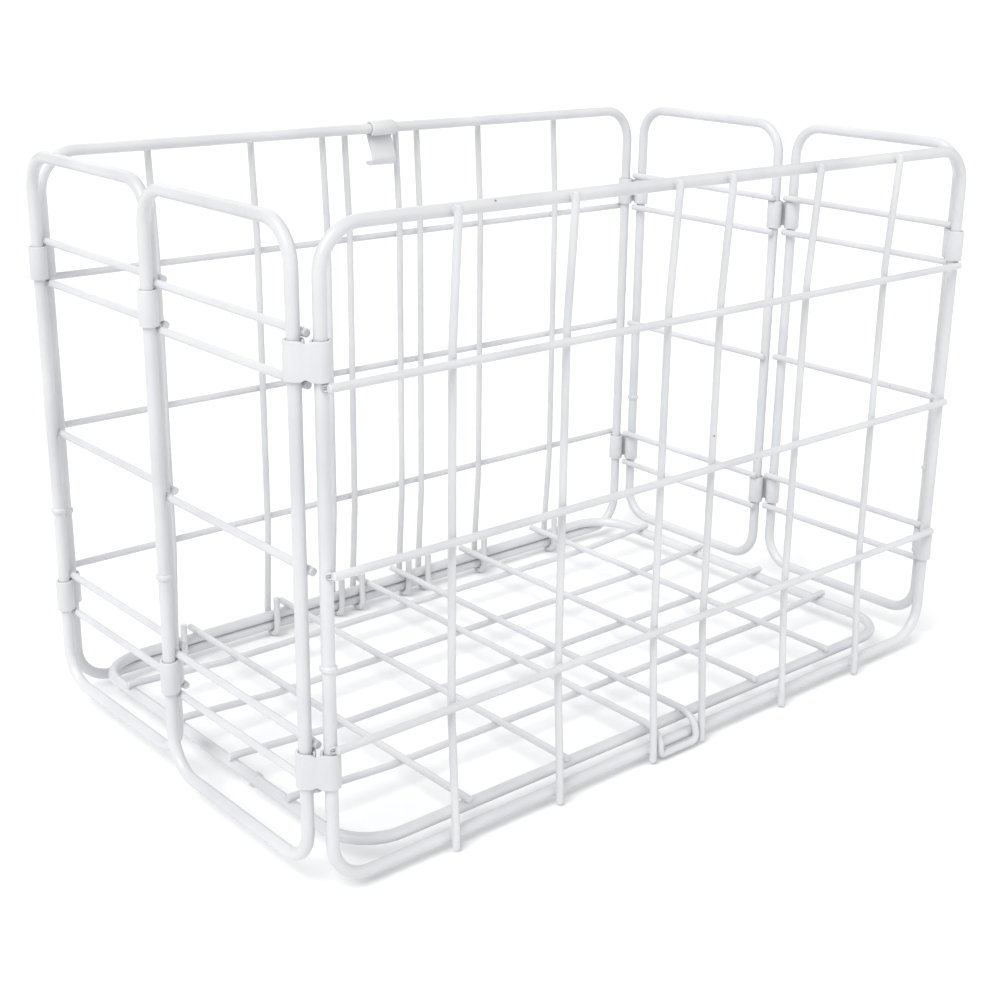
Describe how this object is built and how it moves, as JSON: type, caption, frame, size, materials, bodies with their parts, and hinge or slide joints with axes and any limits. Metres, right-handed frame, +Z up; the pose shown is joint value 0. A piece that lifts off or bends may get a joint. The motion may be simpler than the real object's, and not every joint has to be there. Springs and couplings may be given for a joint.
{
  "type": "folding wire basket",
  "caption": "Open rectangular steel wire basket that folds flat: hinged end halves joined by rolled clips, a lift-up floor with a latch loop and a closing hook.",
  "frame": {"origin": "middle of the plan, on the surface that the basket stands on", "axes": "+X along the length to the right as seen from the front, +Y from the front panel to the back panel, +Z up"},
  "size_m": [0.4588, 0.2738, 0.3067],
  "materials": {
    "rod_coat": "smooth white powder coat with light orange peel on thick frame rod",
    "wire_coat": "smooth white powder coat with light orange peel on infill wire",
    "clip_coat": "white powder coat over rolled strip, bare worn edges at the barrels",
    "hook_coat": "white powder coat over bent strip"
  },
  "bodies": {
    "back": {"back_frame": "rod_coat", "back_rail_lower": "wire_coat", "back_rail_middle": "wire_coat", "back_rail_upper": "wire_coat", "back_upright_1": "wire_coat", "back_upright_2": "wire_coat", "back_upright_3": "wire_coat", "back_upright_4": "wire_coat", "back_upright_5": "wire_coat", "back_upright_6": "wire_coat", "back_upright_7": "wire_coat", "back_upright_8": "wire_coat"},
    "front": {"front_frame": "rod_coat", "front_rail_lower": "wire_coat", "front_rail_middle": "wire_coat", "front_rail_upper": "wire_coat", "front_upright_1": "wire_coat", "front_upright_2": "wire_coat", "front_upright_3": "wire_coat", "front_upright_4": "wire_coat", "front_upright_5": "wire_coat", "front_upright_6": "wire_coat"},
    "floor": {"floor_cross_wire_1": "wire_coat", "floor_cross_wire_2": "wire_coat", "floor_cross_wire_3": "wire_coat", "floor_cross_wire_4": "wire_coat", "floor_frame": "rod_coat", "floor_latch_wire": "wire_coat", "floor_long_wire_1": "wire_coat", "floor_long_wire_2": "wire_coat", "floor_long_wire_3": "wire_coat", "floor_long_wire_4": "wire_coat"},
    "hook": {"closing_hook": "hook_coat"},
    "left_rear_wall": {"left_rear_frame": "rod_coat", "left_rear_rungs": "wire_coat"},
    "left_front_wall": {"left_front_frame": "rod_coat", "left_front_rungs": "wire_coat"},
    "left_rear_clips": {"left_rear_clip_upper": "clip_coat", "left_rear_clip_lower": "clip_coat"},
    "left_middle_clips": {"left_middle_clip_upper": "clip_coat", "left_middle_clip_lower": "clip_coat"},
    "left_front_clips": {"left_front_clip_upper": "clip_coat", "left_front_clip_lower": "clip_coat"},
    "right_rear_wall": {"right_rear_frame": "rod_coat", "right_rear_rungs": "wire_coat"},
    "right_front_wall": {"right_front_frame": "rod_coat", "right_front_rungs": "wire_coat"},
    "right_rear_clips": {"right_rear_clip_upper": "clip_coat", "right_rear_clip_lower": "clip_coat"},
    "right_middle_clips": {"right_middle_clip_upper": "clip_coat", "right_middle_clip_lower": "clip_coat"},
    "right_front_clips": {"right_front_clip_upper": "clip_coat", "right_front_clip_lower": "clip_coat"}
  },
  "joints": [
    {"name": "left_rear_clip_turn", "type": "hinge", "parent": "back", "child": "left_rear_clips", "pos_m": [-0.21, 0.13025, 0.1566], "axis": [0, 0, 1], "range_deg": [-6, 3.5]},
    {"name": "left_rear_wall_turn", "type": "hinge", "parent": "left_rear_clips", "child": "left_rear_wall", "pos_m": [-0.21778, 0.12247, 0.1566], "axis": [0, 0, 1], "range_deg": [-6, 3.5]},
    {"name": "left_middle_clip_turn", "type": "hinge", "parent": "left_rear_wall", "child": "left_middle_clips", "pos_m": [-0.21778, 0.00447, 0.1566], "axis": [0, 0, -1], "range_deg": [-12, 7]},
    {"name": "left_front_wall_turn", "type": "hinge", "parent": "left_middle_clips", "child": "left_front_wall", "pos_m": [-0.22478, -0.00402, 0.1566], "axis": [0, 0, -1], "range_deg": [-12, 7]},
    {"name": "left_front_clip_turn", "type": "hinge", "parent": "left_front_wall", "child": "left_front_clips", "pos_m": [-0.22478, -0.12202, 0.1566], "axis": [0, 0, 1], "range_deg": [-6, 3.5]},
    {"name": "front_turn", "type": "hinge", "parent": "left_front_clips", "child": "front", "pos_m": [-0.217, -0.1298, 0.1566], "axis": [0, 0, 1], "range_deg": [-6, 3.5]},
    {"name": "right_rear_clip_turn", "type": "hinge", "parent": "back", "child": "right_rear_clips", "pos_m": [0.21, 0.13025, 0.1566], "axis": [0, 0, -1], "range_deg": [-6, 3.5]},
    {"name": "right_rear_wall_turn", "type": "hinge", "parent": "right_rear_clips", "child": "right_rear_wall", "pos_m": [0.21778, 0.12247, 0.1566], "axis": [0, 0, -1], "range_deg": [-6, 3.5]},
    {"name": "right_middle_clip_turn", "type": "hinge", "parent": "right_rear_wall", "child": "right_middle_clips", "pos_m": [0.21778, 0.00447, 0.1566], "axis": [0, 0, 1], "range_deg": [-12, 7]},
    {"name": "right_front_wall_turn", "type": "hinge", "parent": "right_middle_clips", "child": "right_front_wall", "pos_m": [0.22478, -0.00402, 0.1566], "axis": [0, 0, 1], "range_deg": [-12, 7]},
    {"name": "right_front_clip_turn", "type": "hinge", "parent": "right_front_wall", "child": "right_front_clips", "pos_m": [0.22478, -0.12202, 0.1566], "axis": [0, 0, -1], "range_deg": [-6, 3.5]},
    {"name": "floor_lift", "type": "hinge", "parent": "back", "child": "floor", "pos_m": [0, 0.1298, 0.0134], "axis": [-1, 0, 0], "range_deg": [0, 82]},
    {"name": "hook_swing", "type": "hinge", "parent": "back", "child": "hook", "pos_m": [0.0045, 0.13025, 0.3021], "axis": [1, 0, 0], "continuous": true}
  ],
  "couplings": [
    {"joint": "left_rear_clip_turn", "follows": "right_front_wall_turn", "ratio": 0.5},
    {"joint": "left_rear_wall_turn", "follows": "right_front_wall_turn", "ratio": 0.5},
    {"joint": "left_middle_clip_turn", "follows": "right_front_wall_turn", "ratio": 1},
    {"joint": "left_front_clip_turn", "follows": "right_front_wall_turn", "ratio": 0.5},
    {"joint": "right_rear_clip_turn", "follows": "right_front_wall_turn", "ratio": 0.5},
    {"joint": "right_rear_wall_turn", "follows": "right_front_wall_turn", "ratio": 0.5},
    {"joint": "right_middle_clip_turn", "follows": "right_front_wall_turn", "ratio": 1},
    {"joint": "left_front_wall_turn", "follows": "right_front_wall_turn", "ratio": 1},
    {"joint": "right_front_clip_turn", "follows": "right_front_wall_turn", "ratio": 0.5},
    {"joint": "front_turn", "follows": "right_front_wall_turn", "ratio": 0.5}
  ]
}
